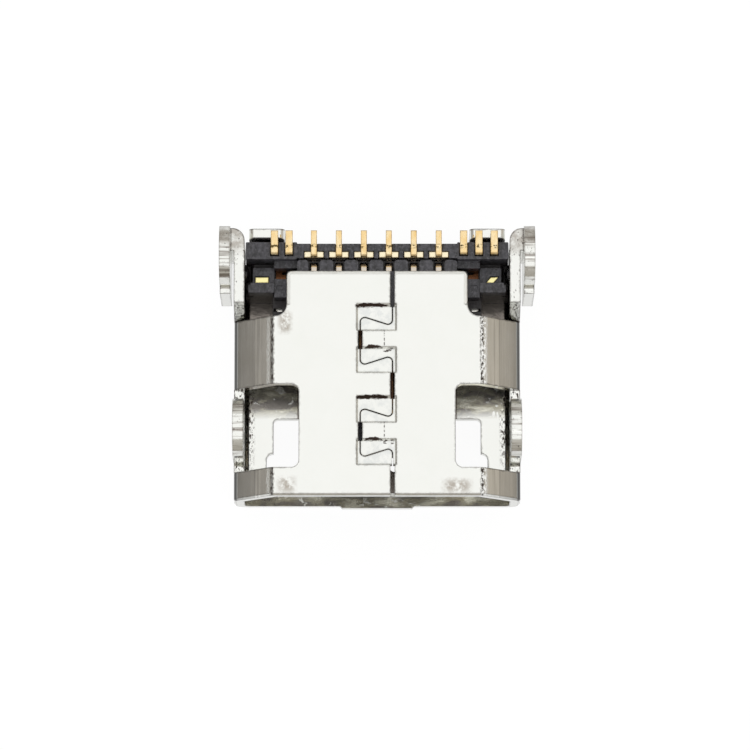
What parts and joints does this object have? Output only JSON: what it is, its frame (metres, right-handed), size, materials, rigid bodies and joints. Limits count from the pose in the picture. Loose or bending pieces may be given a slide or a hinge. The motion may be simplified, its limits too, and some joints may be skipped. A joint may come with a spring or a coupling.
{
  "type": "charging port connector",
  "caption": "Charging port receptacle with a folded metal shell, dovetailed seam, board legs, black insulator and gold contacts that end in surface solder tails.",
  "frame": {"origin": "middle of the bounding box on the plane z = 0, which is the outer face of the wide wall that the loose part lies on", "axes": "-Y out of the mouth, +Y to the solder tails, +X across the port, +Z from the wide wall to the board side with the legs"},
  "size_m": [0.0082, 0.0072, 0.0034],
  "materials": {
    "plated_sheet": "satin nickel plating on stamped stainless steel sheet",
    "black_moulding": "matte black glass-filled moulding",
    "plated_contact": "copper alloy strip, nickel plated, with gold on its tails"
  },
  "bodies": {
    "root": {"shell": "plated_sheet", "tongue_moulding": "black_moulding", "rear_moulding": "black_moulding", "middle_contact_1": "plated_contact", "middle_contact_2": "plated_contact", "middle_contact_3": "plated_contact", "middle_contact_4": "plated_contact", "middle_contact_5": "plated_contact", "middle_contact_6": "plated_contact", "outer_contact_1": "plated_contact", "outer_contact_2": "plated_contact", "outer_contact_3": "plated_contact", "outer_contact_4": "plated_contact", "outer_contact_5": "plated_contact"}
  },
  "joints": []
}
